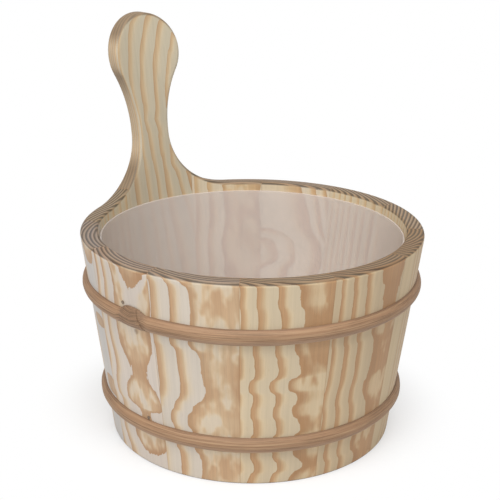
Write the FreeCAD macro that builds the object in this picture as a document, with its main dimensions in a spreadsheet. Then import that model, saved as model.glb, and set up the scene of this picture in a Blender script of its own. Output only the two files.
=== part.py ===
import FreeCAD, Part
import math
import os
import Sketcher
from FreeCAD import Vector

# Driving dimensions, in millimetres unless the note says degrees
SIZES = [
    ("stave_height", 148.0, "height of a plain stave"),
    ("rim_radius", 120.0, "outside radius of the bucket at the rim"),
    ("base_radius", 100.6, "outside radius of the bucket at the foot"),
    ("wall_thickness", 12.4, "thickness of a stave, measured level"),
    ("rim_round", 2.5, "rounding of the rim's and the handle's edges"),
    ("foot_round", 1.2, "rounding of the staves' outer foot edge"),
    ("chime_height", 10.0, "foot of the staves to the underside of the head"),
    ("head_thickness", 10.0, "thickness of the bottom head"),
    ("croze_depth", 4.0, "depth of the groove that holds the head"),
    ("neck_width", 28.0, "handle, across its narrow neck"),
    ("neck_height", 46.8, "rim to where the neck starts to widen upwards"),
    ("flare_radius", 44.5, "hollow curve from the neck down to the rim"),
    ("paddle_radius", 29.1, "round end of the handle"),
    ("paddle_height", 104.2, "rim to the centre of the round end"),
    ("handle_angle", 32.4, "degrees of the ring that the handle stave takes"),
    ("handle_skew", 0.95, "degrees from the middle of its stave to the handle, clockwise from above"),
    ("hoop_height", 11.5, "hoop, along the staves"),
    ("hoop_thickness", 4.15, "hoop, out from the staves"),
    ("upper_hoop_level", 110.9, "foot to the middle of the upper hoop"),
    ("lower_hoop_level", 30.8, "foot to the middle of the lower hoop"),
    ("splice_gap", 0.3, "open joint between the two ends of a hoop"),
    ("knot_length", 18.0, "swollen knot beside the joint, along the hoop"),
    ("knot_height", 10.0, "knot, up and down"),
    ("knot_depth", 4.2, "knot, out from the staves"),
    ("knot_rise", 3.8, "how far the knot stands above the hoop's edge"),
    ("knot_setback", 0.7, "hoop's joint to the near end of its knot"),
    ("liner_gap", 0.5, "between the liner and the staves"),
    ("liner_wall", 1.2, "liner wall"),
    ("liner_floor", 1.5, "liner floor"),
    ("liner_drop", 6.0, "rim down to the liner's edge"),
    ("liner_lift", 0.3, "between the head and the liner's floor"),
    ("liner_corner", 7.0, "outside rounding of the liner's foot"),
    ("liner_edge_round", 0.4, "rounding of the liner's upper edge"),
    ("board_width", 63.0, "middle board of the head"),
    ("dowel_radius", 3.0, "dowel between two head boards"),
    ("dowel_length", 32.0, "dowel, end to end"),
    ("dowel_offset", 42.0, "dowel, from the middle of the head"),
    ("brad_radius", 0.6, "brad shank"),
    ("brad_length", 9.0, "brad shank, under its head"),
    ("brad_head_radius", 1.1, "brad head"),
    ("brad_head_thickness", 0.7, "brad head"),
    ("upper_brad_level", 120.8, "foot to the brads over the upper hoop"),
    ("lower_brad_level", 38.2, "foot to the brads over the lower hoop"),
    ("overrun", 6.0, "how far a cut runs past what it cuts"),
]
SIZE = {name: value for name, value, note in SIZES}

# Degrees of the ring that each plain stave takes, anticlockwise from the handle; the last takes the rest
STAVE_ANGLES = [30.2, 29.7, 28.6, 29.3, 29.2, 30.4, 30.0, 30.0, 30.0, 30.2]
STAVE_COUNT = len(STAVE_ANGLES) + 1

# Where the hoops close and the brads sit, in degrees anticlockwise from the handle's middle
UPPER_SPLICE_TURN = 101.2
LOWER_SPLICE_TURN = 286.0
UPPER_BRAD_TURNS = [92.7, 272.0]
LOWER_BRAD_TURNS = [98.0, 264.0]
HANDLE_TURN = 90.0
HALF_TURN = 180.0
# The staves that the brads go into
BRADDED_STAVES = ["stave_03", "stave_09"]

doc = FreeCAD.newDocument("piggin")
sheet = doc.addObject("Spreadsheet::Sheet", "Sizes")
nodes = {}


def fill_sheet():
    """Put every driving size in the sheet, one row each, under its own alias."""
    rows = SIZES + [
        (f"stave_{number:02d}_angle", angle, "degrees of the ring")
        for number, angle in enumerate(STAVE_ANGLES, 1)
    ]
    for row, (name, value, note) in enumerate(rows, 1):
        sheet.set(f"A{row}", note)
        sheet.set(f"B{row}", str(value))
        sheet.setAlias(f"B{row}", name)
    doc.recompute()


def cells(text):
    """Turn each size name in a formula into a reference to its cell."""
    words = text.split(" ")
    return " ".join(f"Sizes.{word}" if word in SIZE else word for word in words)


LEAN = "( rim_radius - base_radius ) / stave_height"
LEAN_ANGLE = f"atan( {LEAN} )"
HANDLE_TOP = "( stave_height + paddle_height + paddle_radius )"


def outer(level):
    """Radius of the staves' outside at a level, as a formula."""
    return f"( base_radius + {LEAN} * ( {level} ) )"


def inner(level):
    """Radius of the staves' inside at a level, as a formula."""
    return f"( {outer(level)} - wall_thickness )"


def reach(top):
    """Furthest distance from the bucket's axis on a rounded top edge, as a formula."""
    return f"( {outer(f'{top} - rim_round')} - rim_round / cos( {LEAN_ANGLE} ) + rim_round )"


# The bucket's axis stands this far from the middle of the whole object's box
AXIS_SHIFT = f"( {reach(HANDLE_TOP)} - {reach('stave_height')} ) / 2"


def stave_angle(number):
    """Width of a stave in degrees, as a formula; stave 0 is the handle stave."""
    if number == 0:
        return "Sizes.handle_angle"
    if number < STAVE_COUNT:
        return f"Sizes.stave_{number:02d}_angle"
    others = " + ".join(stave_angle(other) for other in range(STAVE_COUNT))
    return f"( 360 - ( {others} ) )"


def stave_turn(number):
    """Turn from the handle's middle to a stave's middle, as a formula."""
    if number == 0:
        return "0"
    between = [stave_angle(other) for other in range(1, number)]
    halves = f"( {stave_angle(0)} + {stave_angle(number)} ) / 2"
    return " + ".join([halves] + between)


def rotation(axis, angle, base=("0", "0", "0")):
    """A placement formula: a turn about an axis, then a move."""
    return (
        f"create(<<placement>>; create(<<vector>>; {base[0]}; {base[1]}; {base[2]}); "
        f"create(<<rotation>>; create(<<vector>>; {axis[0]}; {axis[1]}; {axis[2]}); {angle}))"
    )


def about_axis(turn):
    """Placement formula that stands a thing on the bucket's axis, turned from the handle's middle."""
    base = ("0", cells(f"0 - {AXIS_SHIFT}"), "0")
    return rotation((0, 0, 1), f"{HANDLE_TURN} + {turn}", base)


def set_about_axis(thing, turn="0"):
    thing.setExpression("Placement", about_axis(turn))


def origin_plane(body, role):
    return next(item for item in body.Origin.OriginFeatures if item.Role == role)


def new_sketch(body, name, role, turn=None):
    """A sketch on one of the body's own planes, turned about the upright axis if asked."""
    sketch = body.newObject("Sketcher::SketchObject", name)
    sketch.AttachmentSupport = (origin_plane(body, role), [""])
    sketch.MapMode = "FlatFace"
    if turn is not None:
        sketch.setExpression("AttachmentOffset", rotation((0, 1, 0), turn))
    return sketch


def place_point(sketch, line, end, across, up, drawn):
    """Fix a sketch point, drawn somewhere, by its two formulas; an empty one puts it on that axis."""
    for kind, formula, axis, size in (
        ("DistanceX", across, -2, drawn.x),
        ("DistanceY", up, -1, drawn.y),
    ):
        if formula:
            index = sketch.addConstraint(Sketcher.Constraint(kind, -1, 1, line, end, size))
            sketch.setExpression(f"Constraints[{index}]", cells(formula))
        else:
            sketch.addConstraint(Sketcher.Constraint("PointOnObject", line, end, axis))


def straight_outline(sketch, corners):
    """A closed outline of straight lines through corners given as formulas."""
    count = len(corners)
    spread = SIZE["rim_radius"]
    middle = Vector(spread + spread, spread + spread, 0)
    starts = [
        middle + Vector(spread * math.cos(turn), spread * math.sin(turn), 0)
        for turn in (2 * math.pi * step / count for step in range(count))
    ]
    for step in range(count):
        sketch.addGeometry(Part.LineSegment(starts[step], starts[(step + 1) % count]), False)
    for step in range(count):
        sketch.addConstraint(Sketcher.Constraint("Coincident", step, 2, (step + 1) % count, 1))
    for step, (across, up) in enumerate(corners):
        place_point(sketch, step, 1, across, up, starts[step])


def turned(body, name, sketch, angle="360", kind="PartDesign::Revolution"):
    """Turn a sketch about the bucket's axis, half the angle to each side."""
    feature = body.newObject(kind, name)
    feature.Profile = sketch
    feature.ReferenceAxis = (sketch, ["V_Axis"])
    feature.Midplane = True
    feature.setExpression("Angle", angle)
    doc.recompute()
    return feature


def cut_through(body, name, sketch, length):
    """Cut a sketch through the body, the same distance to both sides of its plane."""
    before = body.Shape.Volume
    feature = body.newObject("PartDesign::Pocket", name)
    feature.Profile = sketch
    feature.Type = "Length"
    feature.SideType = "Symmetric"
    feature.setExpression("Length", cells(length))
    doc.recompute()
    if not feature.Shape.Volume < before:
        raise ValueError(f"{name} cuts nothing")
    return feature


def edge_names(shape, wanted):
    """Names of the edges for which wanted(edge, its two faces) is true."""
    names = []
    for number, edge in enumerate(shape.Edges, 1):
        faces = shape.ancestorsOfType(edge, Part.Face)
        if len(faces) == 2 and wanted(edge, faces):
            names.append(f"Edge{number}")
    return names


def is_cone(face):
    return face.Surface.TypeId == "Part::GeomCone"


def round_edges(body, name, wanted, radius):
    """Round the edges of the body's last feature that are wanted."""
    last = body.Tip
    feature = body.newObject("PartDesign::Fillet", name)
    feature.Base = (last, edge_names(last.Shape, wanted))
    feature.setExpression("Radius", cells(radius))
    doc.recompute()
    return feature


def stave_section(body, top):
    """Section of a stave up to a level, with the croze groove on its inside."""
    sketch = new_sketch(body, f"{body.Name}_section", "XZ_Plane")
    groove_top = "chime_height + head_thickness"
    groove = f"{inner('chime_height + head_thickness / 2')} + croze_depth"
    corners = [
        (inner("0"), ""),
        (outer("0"), ""),
        (outer(top), top),
        (inner(top), top),
        (inner(groove_top), groove_top),
        (groove, groove_top),
        (groove, "chime_height"),
        (inner("chime_height"), "chime_height"),
    ]
    straight_outline(sketch, corners)
    return sketch


def handle_waste(body, name, turn):
    """What the saw takes away beside the handle, down to the rim, on one side.

    The sketch stands square to the handle's middle. Its outline runs along the rim,
    up and over the handle, round the paddle, down the neck and along the flare.
    """
    sketch = new_sketch(body, name, "YZ_Plane", turn=turn)
    rim = SIZE["stave_height"]
    neck = SIZE["neck_width"] / 2
    flare = SIZE["flare_radius"]
    paddle = SIZE["paddle_radius"]
    far = SIZE["rim_radius"] + SIZE["overrun"]
    neck_top = rim + SIZE["neck_height"]
    middle = rim + SIZE["paddle_height"]
    over = middle + paddle + SIZE["overrun"]
    climb = middle - neck_top
    side = (climb**2 + neck**2 - paddle**2) / (2 * (paddle - neck))
    lean = math.atan2(climb, neck + side)
    up = Vector(0, 0, 1)

    def line(x1, y1, x2, y2):
        sketch.addGeometry(Part.LineSegment(Vector(x1, y1, 0), Vector(x2, y2, 0)), False)

    def arc(x, y, radius, start, end):
        circle = Part.Circle(Vector(x, y, 0), up, radius)
        sketch.addGeometry(Part.ArcOfCircle(circle, start, end), False)

    line(neck + flare, rim, far, rim)
    line(far, rim, far, over)
    line(far, over, 0, over)
    line(0, over, 0, middle + paddle)
    arc(0, middle, paddle, -lean, math.pi / 2)
    arc(neck + side, neck_top, side, math.pi - lean, math.pi)
    line(neck, neck_top, neck, rim + flare)
    arc(neck + flare, rim + flare, flare, math.pi, 3 * math.pi / 2)

    for rule in (
        ("Coincident", 0, 2, 1, 1),
        ("Coincident", 1, 2, 2, 1),
        ("Coincident", 2, 2, 3, 1),
        ("Coincident", 3, 2, 4, 2),
        ("Tangent", 4, 1, 5, 1),
        ("Tangent", 5, 2, 6, 1),
        ("Tangent", 6, 2, 7, 1),
        ("Tangent", 7, 2, 0, 1),
        ("Horizontal", 0),
        ("Vertical", 1),
        ("Horizontal", 2),
        ("Vertical", 3),
        ("Vertical", 6),
    ):
        sketch.addConstraint(Sketcher.Constraint(*rule))
    for curve, radius in ((4, "paddle_radius"), (7, "flare_radius")):
        index = sketch.addConstraint(Sketcher.Constraint("Radius", curve, SIZE[radius]))
        sketch.setExpression(f"Constraints[{index}]", cells(radius))
    index = sketch.addConstraint(Sketcher.Constraint("DistanceY", -1, 1, 0, 2, rim))
    sketch.setExpression(f"Constraints[{index}]", cells("stave_height"))
    index = sketch.addConstraint(Sketcher.Constraint("DistanceX", -1, 1, 1, 1, far))
    sketch.setExpression(f"Constraints[{index}]", cells("rim_radius + overrun"))
    place_point(sketch, 3, 1, "", f"{HANDLE_TOP} + overrun", Vector(0, over, 0))
    place_point(sketch, 4, 3, "", "stave_height + paddle_height", Vector(0, middle, 0))
    neck_corner = Vector(neck, neck_top, 0)
    place_point(sketch, 6, 1, "neck_width / 2", "stave_height + neck_height", neck_corner)
    return sketch


def make_stave(number, label):
    """One stave: turned section, sawn round the handle, its end edges rounded."""
    body = doc.addObject("PartDesign::Body", label)
    beside_handle = number in (1, STAVE_COUNT)
    top = "stave_height"
    if number == 0:
        top = f"{HANDLE_TOP} + overrun"
    elif beside_handle:
        top = "stave_height + flare_radius"
    section = stave_section(body, top)
    turned(body, f"{label}_turned", section, stave_angle(number))
    length = "4 * rim_radius"
    handle = f"( 0 - Sizes.handle_skew - ( {stave_turn(number)} ) )"
    if number == 0:
        cut_through(body, f"{label}_left_cut", handle_waste(body, f"{label}_left", handle), length)
        other = f"180 + {handle}"
        cut_through(body, f"{label}_right_cut", handle_waste(body, f"{label}_right", other), length)
    elif number == 1:
        cut_through(body, f"{label}_cut", handle_waste(body, f"{label}_waste", handle), length)
    elif beside_handle:
        turn = f"180 + 360 + {handle}"
        cut_through(body, f"{label}_cut", handle_waste(body, f"{label}_waste", turn), length)

    rim = SIZE["stave_height"] - SIZE["rim_round"] / 2

    def rim_edge(edge, faces):
        above = [face.BoundBox.ZMin > rim for face in faces]
        return any(above) and any(is_cone(face) for face in faces)

    def foot_edge(edge, faces):
        middle = edge.CenterOfMass
        radius = math.hypot(middle.x, middle.y)
        wall_middle = SIZE["base_radius"] - SIZE["wall_thickness"] / 2
        level = edge.BoundBox.ZMax < SIZE["foot_round"] / 2
        return level and radius > wall_middle and any(is_cone(face) for face in faces)

    round_edges(body, f"{label}_rim", rim_edge, "rim_round")
    round_edges(body, f"{label}_foot", foot_edge, "foot_round")
    set_about_axis(body, stave_turn(number))
    doc.recompute()
    return body


def make_hoop(label, level, splice_turn):
    """A hoop of split cane: half-round, its ends meeting beside a swollen knot.

    The joint lies opposite the section, so the knot is placed from there.
    """
    body = doc.addObject("PartDesign::Body", label)
    lean = math.atan((SIZE["rim_radius"] - SIZE["base_radius"]) / SIZE["stave_height"])
    half = f"hoop_height / 2 * cos( {LEAN_ANGLE} )"
    low, high = f"{level} - {half}", f"{level} + {half}"
    section = new_sketch(body, f"{label}_section", "XZ_Plane")
    middle = SIZE[level]
    radius = SIZE["base_radius"] + math.tan(lean) * middle
    rise = SIZE["hoop_height"] / 2 * math.cos(lean)
    run = SIZE["hoop_height"] / 2 * math.sin(lean)
    bow = (SIZE["hoop_height"] ** 2 / 4 + SIZE["hoop_thickness"] ** 2) / (2 * SIZE["hoop_thickness"])
    inset = SIZE["hoop_thickness"] - bow
    centre = Vector(radius + inset * math.cos(lean), middle - inset * math.sin(lean), 0)
    start = math.atan2(middle - rise - centre.y, radius - run - centre.x)
    end = math.atan2(middle + rise - centre.y, radius + run - centre.x)
    over = Vector(radius + run, middle + rise, 0)
    under = Vector(radius - run, middle - rise, 0)
    back = Vector(radius - run - SIZE["overrun"], middle + rise, 0)
    heel = Vector(back.x, under.y, 0)
    section.addGeometry(Part.ArcOfCircle(Part.Circle(centre, Vector(0, 0, 1), bow), start, end), False)
    for first, second in ((over, back), (back, heel), (heel, under)):
        section.addGeometry(Part.LineSegment(first, second), False)
    for rule in (
        ("Coincident", 0, 2, 1, 1),
        ("Coincident", 1, 2, 2, 1),
        ("Coincident", 2, 2, 3, 1),
        ("Coincident", 3, 2, 0, 1),
        ("Horizontal", 1),
        ("Vertical", 2),
        ("Horizontal", 3),
    ):
        section.addConstraint(Sketcher.Constraint(*rule))
    place_point(section, 1, 1, outer(high), high, over)
    place_point(section, 3, 2, outer(low), low, under)
    index = section.addConstraint(Sketcher.Constraint("Radius", 0, bow))
    bow_formula = "( hoop_height ^ 2 / 4 + hoop_thickness ^ 2 ) / ( 2 * hoop_thickness )"
    section.setExpression(f"Constraints[{index}]", cells(bow_formula))
    index = section.addConstraint(Sketcher.Constraint("DistanceX", -1, 1, 2, 1, back.x))
    section.setExpression(f"Constraints[{index}]", cells(f"{outer(low)} - overrun"))
    open_joint = "splice_gap / rim_radius * 180 / pi"
    turned(body, f"{label}_turned", section, cells(f"360 - {open_joint}"))

    knot = body.newObject("PartDesign::AdditiveEllipsoid", f"{label}_knot")
    knot.AttachmentSupport = (origin_plane(body, "XY_Plane"), [""])
    knot.MapMode = "FlatFace"
    knot_level = f"{high} + knot_rise - knot_height / 2"
    setback = f"( knot_length / 2 + knot_setback ) / {outer(knot_level)}"
    knot_turn = f"( 180 - {setback} * 180 / pi )"
    knot_place = (
        cells(f"{outer(knot_level)} * cos( {knot_turn} )"),
        cells(f"{outer(knot_level)} * sin( {knot_turn} )"),
        cells(knot_level),
    )
    knot.setExpression("Radius1", cells("knot_height / 2"))
    knot.setExpression("Radius2", cells("knot_depth"))
    knot.setExpression("Radius3", cells("knot_length / 2"))
    knot.setExpression("AttachmentOffset", rotation((0, 0, 1), cells(knot_turn), knot_place))
    doc.recompute()

    room = new_sketch(body, f"{label}_room", "XZ_Plane")
    below, above = f"{level} - hoop_height", f"{level} + hoop_height"
    straight_outline(room, [("", below), (outer(below), below), (outer(above), above), ("", above)])
    turned(body, f"{label}_seat", room, kind="PartDesign::Groove")
    set_about_axis(body, str(splice_turn - HALF_TURN))
    doc.recompute()
    return body


def make_brads(label, level, turns):
    """Brads with flat heads, each square to the staves: one group, and the shanks alone."""
    # A brad's own axis turns from upright to level and then down by the staves' lean
    tilt = cells(f"90 deg + {LEAN_ANGLE}")
    point = (cells(outer(level)), "0", cells(level))
    shanks, brads = [], []
    for count, turn in enumerate(turns, 1):
        place = f"{about_axis(str(turn))} * {rotation((0, 1, 0), tilt, point)}"
        shank = doc.addObject("Part::Cylinder", f"{label}_shank_{count}")
        shank.setExpression("Radius", cells("brad_radius"))
        shank.setExpression("Height", cells("brad_length"))
        into = rotation((0, 0, 1), "0", ("0", "0", cells("0 - brad_length")))
        shank.setExpression("Placement", f"{place} * {into}")
        head = doc.addObject("Part::Cylinder", f"{label}_head_{count}")
        head.setExpression("Radius", cells("brad_head_radius"))
        head.setExpression("Height", cells("brad_head_thickness"))
        head.setExpression("Placement", place)
        brad = doc.addObject("Part::Fuse", f"{label}_{count}")
        brad.Base, brad.Tool = shank, head
        shanks.append(shank)
        brads.append(brad)
    group = doc.addObject("Part::Compound", label)
    group.Links = brads
    doc.recompute()
    return group, shanks


def drilled(blank, tool, label):
    """A piece with the room of its pins or brads taken out."""
    piece = doc.addObject("Part::Cut", label)
    piece.Base, piece.Tool = blank, tool
    doc.recompute()
    return piece


def make_head():
    """The bottom head: three boards edge to edge in the croze, and the dowels between them."""
    dowels = []
    seams = ("board_width / 2", "0 - board_width / 2")
    for count, (seam, side) in enumerate(((a, b) for a in seams for b in (1, -1)), 1):
        dowel = doc.addObject("Part::Cylinder", f"head_dowel_{count}")
        dowel.setExpression("Radius", cells("dowel_radius"))
        dowel.setExpression("Height", cells("dowel_length"))
        base = (
            cells(f"{seam} - dowel_length / 2"),
            cells(f"{side} * dowel_offset - {AXIS_SHIFT}"),
            cells("chime_height + head_thickness / 2"),
        )
        dowel.setExpression("Placement", rotation((0, 1, 0), "90", base))
        dowels.append(dowel)
    group = doc.addObject("Part::Compound", "head_dowels")
    group.Links = dowels
    rim = f"( {inner('chime_height + head_thickness / 2')} + croze_depth )"
    sides = (
        ("head_board_left", f"0 - {rim}", f"{rim} - board_width / 2"),
        ("head_board_middle", "0 - board_width / 2", "board_width"),
        ("head_board_right", "board_width / 2", f"{rim} - board_width / 2"),
    )
    pieces = {"head_dowels": group}
    for label, start, width in sides:
        disc = doc.addObject("Part::Cylinder", f"{label}_disc")
        disc.setExpression("Radius", cells(rim))
        disc.setExpression("Height", cells("head_thickness"))
        disc.setExpression("Placement.Base.y", cells(f"0 - {AXIS_SHIFT}"))
        disc.setExpression("Placement.Base.z", cells("chime_height"))
        slab = doc.addObject("Part::Box", f"{label}_slab")
        slab.setExpression("Length", cells(width))
        slab.setExpression("Width", cells(f"2 * {rim}"))
        slab.setExpression("Height", cells("head_thickness"))
        slab.setExpression("Placement.Base.x", cells(start))
        slab.setExpression("Placement.Base.y", cells(f"0 - {rim} - {AXIS_SHIFT}"))
        slab.setExpression("Placement.Base.z", cells("chime_height"))
        board = doc.addObject("Part::Common", f"{label}_blank")
        board.Base, board.Tool = disc, slab
        pieces[label] = drilled(board, group, label)
    return pieces


def make_liner():
    """The loose plastic liner that follows the inside of the staves."""
    body = doc.addObject("PartDesign::Body", "liner")
    foot = "chime_height + head_thickness + liner_lift"
    floor = f"{foot} + liner_floor"
    edge = "stave_height - liner_drop"
    corners = [
        ("", foot),
        (f"{inner(foot)} - liner_gap", foot),
        (f"{inner(edge)} - liner_gap", edge),
        (f"{inner(edge)} - liner_gap - liner_wall", edge),
        (f"{inner(floor)} - liner_gap - liner_wall", floor),
        ("", floor),
    ]
    section = new_sketch(body, "liner_section", "XZ_Plane")
    straight_outline(section, corners)
    turned(body, "liner_turned", section)
    near_foot = SIZE["chime_height"] + SIZE["head_thickness"] + SIZE["liner_lift"]
    near_floor = near_foot + SIZE["liner_floor"]
    near_edge = SIZE["stave_height"] - SIZE["liner_drop"]
    close = SIZE["liner_lift"]

    def level_edge(level):
        def wanted(edge, faces):
            box = edge.BoundBox
            flat = box.ZMax - box.ZMin < close
            return flat and abs(edge.CenterOfMass.z - level) < close and any(is_cone(f) for f in faces)

        return wanted

    round_edges(body, "liner_foot", level_edge(near_foot), "liner_corner")
    round_edges(body, "liner_hollow", level_edge(near_floor), "liner_corner - liner_wall")
    round_edges(body, "liner_lip", level_edge(near_edge), "liner_edge_round")
    set_about_axis(body)
    doc.recompute()
    return body


def build():
    """Make every piece and return them under the names of their nodes."""
    fill_sheet()
    brads, upper = make_brads("upper_hoop_brads", "upper_brad_level", UPPER_BRAD_TURNS)
    more_brads, lower = make_brads("lower_hoop_brads", "lower_brad_level", LOWER_BRAD_TURNS)
    for number in range(STAVE_COUNT + 1):
        label = f"stave_{number:02d}" if number else "handle_stave"
        nodes[label] = make_stave(number, label)
    for label in BRADDED_STAVES:
        blank = nodes[label]
        blank.Label = f"{label}_blank"
        holes = doc.addObject("Part::Compound", f"{label}_brad_holes")
        holes.Links = upper + lower
        nodes[label] = drilled(blank, holes, f"{label}_drilled")
        nodes[label].Label = label
    nodes.update(make_head())
    nodes["upper_hoop"] = make_hoop("upper_hoop", "upper_hoop_level", UPPER_SPLICE_TURN)
    nodes["lower_hoop"] = make_hoop("lower_hoop", "lower_hoop_level", LOWER_SPLICE_TURN)
    nodes["upper_hoop_brads"] = brads
    nodes["lower_hoop_brads"] = more_brads
    nodes["liner"] = make_liner()


def check_and_write():
    """Refuse a failed feature or an invalid shape, then write one STEP file per node."""
    doc.recompute()
    for item in doc.Objects:
        if "Invalid" in item.State or "Error" in item.State:
            raise ValueError(f"{item.Name} failed: {item.State}")
    for label, piece in nodes.items():
        if piece.Shape.isNull() or not piece.Shape.isValid() or not piece.Shape.Solids:
            raise ValueError(f"{label} has no valid solid")
    os.makedirs("parts", exist_ok=True)
    for label, piece in nodes.items():
        piece.Shape.exportStep(f"parts/{label}.step")
        print(label, len(piece.Shape.Solids), "solids", round(piece.Shape.Volume), "mm3")


build()
check_and_write()
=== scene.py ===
import math
import random

import bpy
from bpy.props import FloatProperty, FloatVectorProperty, IntProperty, PointerProperty
from mathutils import Matrix, Vector, noise


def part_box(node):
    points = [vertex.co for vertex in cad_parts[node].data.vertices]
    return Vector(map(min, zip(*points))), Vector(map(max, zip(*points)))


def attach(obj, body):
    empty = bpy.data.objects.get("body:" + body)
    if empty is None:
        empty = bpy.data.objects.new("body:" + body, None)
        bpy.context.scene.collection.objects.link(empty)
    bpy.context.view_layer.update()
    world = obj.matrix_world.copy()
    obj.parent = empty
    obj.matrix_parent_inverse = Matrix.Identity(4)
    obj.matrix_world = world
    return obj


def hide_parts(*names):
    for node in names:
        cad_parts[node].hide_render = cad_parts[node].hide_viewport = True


bl_info = {
    "name": "Wooden piggin",
    "version": (1, 0, 0),
    "blender": (4, 5, 0),
    "location": "3D View > Sidebar > Piggin",
    "description": "Dresses a coopered piggin: pine staves, cane hoops, brads and a plastic liner",
    "category": "Object",
}

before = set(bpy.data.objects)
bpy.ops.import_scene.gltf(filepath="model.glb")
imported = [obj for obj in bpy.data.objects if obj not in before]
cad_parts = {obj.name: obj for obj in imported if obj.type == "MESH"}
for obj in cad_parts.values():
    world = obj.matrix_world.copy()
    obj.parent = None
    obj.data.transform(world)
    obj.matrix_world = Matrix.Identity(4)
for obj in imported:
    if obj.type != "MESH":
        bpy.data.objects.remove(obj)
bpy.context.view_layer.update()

MM = 0.001
# Widths of the staves in degrees, anticlockwise from the handle stave's middle
STAVE_ANGLES = [32.4, 30.2, 29.7, 28.6, 29.3, 29.2, 30.4, 30.0, 30.0, 30.0, 30.2, 30.2]
BUCKET_AXIS = (0.0, (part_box("liner")[0].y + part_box("liner")[1].y) / 2)

# For the figures of the wood, in millimetres: the level where drawn curves end, and the
# bucket's outside radius that the figures are reckoned on
FIGURE_TOP = 300.0
FIGURE_RADIUS = 110.0
# How far apart the rings lie beyond the drawn ones, on the sawn ends, and in the head
RING_SPACING = 2.6
END_SPACING = 2.75
HEAD_SPACING = 2.7
# How far in and out from the main ring the others are laid, and how much of that a cathedral uses
RING_REACH = (-24.0, 40.0)
CATHEDRAL_REACH = (-20.0, 12.0)
# How the tan grows through a ring, from one ring edge to the next, and where its dark line is
LATE_CURVE = [(0, 0), (0.26, 0.04), (0.42, 0.16), (0.57, 0.42), (0.73, 0.8), (0.86, 1), (1, 1)]
RING_EDGE = (0.9, 0.985)
# The part of a ring that is dark on the sawn ends
END_BAND = (0.34, 0.64)
# How far a line on the handle shifts across the face for each millimetre of depth, how many end
# rings lie in a millimetre of that, and a number for its first ring
HANDLE_SLANT = 5.0
HANDLE_END_RINGS = 0.065
HANDLE_FIRST_RING = 20.0
# Where the inner faces begin, out from the outside face, and the levels just under the rim
INNER_FACE = (-10.9, -11.6)
UNDER_RIM = (130.0, 142.0)
# How fine the pine's noises are, for each millimetre in from the face, across it and up it
PATCH = (0.05, 0.05, 0.016)
CLOUD = (0.02, 0.02, 0.02)
BROKEN = (0.1, 0.1, 0.05)
FIBRE = (2.4, 2.4, 0.045)
STREAK = (0.45, 0.45, 0.012)
DUCT = (2.6, 2.6, 0.22)
PORE = (3.4, 3.4, 3.4)
HANDLE_BEND = (0.08, 0.08, 0.03)
RING_WAVE = (0.05, 0.05, 0.022)
RING_RAG = (0.45, 0.45, 0.1)
MARK_SPECK = (0.8, 0.8, 1.0)
# The same for the head, whose grain runs along Y, and for the cane: along it, across it
HEAD_WAVE = (0.04, 0.012, 1.0)
STRAND = (0.009, 0.85, 1.0)
BLOTCH = (0.03, 0.12, 1.0)
# And for each metre of the brads, of the liner and its skin, and of the floor
TARNISH = (1400.0, 1400.0, 1400.0)
MILK_CLOUD = (26.0, 26.0, 26.0)
MILK_SKIN = (700.0, 700.0, 700.0)
FLOOR_SPECK = (30.0, 30.0, 1.0)
# Most noise lies between these two
NOISE_RANGE = (0.3, 0.7)
# Tints of the sawn sides, of the inner faces, and of the head
SIDE_TINT = (0.88, 0.82, 0.78)
INNER_TINT = (0.96, 0.91, 0.82)
HEAD_TINT = (0.95, 0.93, 0.86)
# The dark of the rings on the sawn ends, in linear values
END_LINE = (0.026, 0.014, 0.007)
# A seam input that is far from any seam
NO_SEAM = 9.0
WHITE = (1.0, 1.0, 1.0)


def srgb(red, green, blue):
    """A colour given as screen values from 0 to 255, in the linear values that shaders use."""
    shares = (value / 255 for value in (red, green, blue))
    return tuple(s / 12.92 if s <= 0.04045 else ((s + 0.055) / 1.055) ** 2.4 for s in shares)


# The small grey-brown mark on a stave
MARK_COLOUR = srgb(128, 104, 86)


def colour_property(name, note, value):
    return FloatVectorProperty(
        name=name, description=note, subtype="COLOR", size=3, min=0, max=1, default=srgb(*value)
    )


def length_property(name, note, value):
    return FloatProperty(
        name=name, description=note, subtype="DISTANCE", unit="LENGTH", min=0, default=value * MM
    )


def share_property(name, note, value):
    return FloatProperty(name=name, description=note, min=0, max=1, default=value)


def angle_property(name, note, degrees):
    turn = math.radians(degrees)
    return FloatProperty(
        name=name, description=note, subtype="ANGLE", unit="ROTATION", default=turn
    )


def power_property(name, note, value):
    return FloatProperty(
        name=name, description=note, subtype="POWER", unit="POWER", min=0, default=value
    )


class PigginWood(bpy.types.PropertyGroup):
    """Colours and figure of the pine."""

    pale: colour_property("Early wood", "Colour of the pale, soft part of a ring", (208, 196, 175))
    honey: colour_property("Honey", "Colour between the pale and the tan part", (210, 187, 149))
    tan: colour_property("Late wood", "Colour of the tan, hard part of a ring", (184, 145, 105))
    edge: colour_property("Ring edge", "Colour of the thin line that ends a ring", (150, 107, 66))
    end: colour_property("End grain", "Tint of the sawn ends at the rim and foot", (141, 117, 92))
    late_share: share_property("Late wood strength", "How far the bands stand out", 0.94)
    fibre_depth: share_property("Fibre depth", "How deep the fine fibres look", 0.35)
    seam_width: length_property("Seam", "Width of the dark line where two staves meet", 0.35)


class PigginBucket(bpy.types.PropertyGroup):
    """Sizes of the bucket that the hoops follow."""

    rim_radius: length_property("Rim radius", "Outside radius of the bucket at the rim", 120.0)
    foot_radius: length_property("Foot radius", "Outside radius of the bucket at the foot", 100.6)
    stave_height: length_property("Stave height", "Height of a plain stave", 148.0)
    wall: length_property("Wall", "Thickness of a stave", 12.4)


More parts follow.
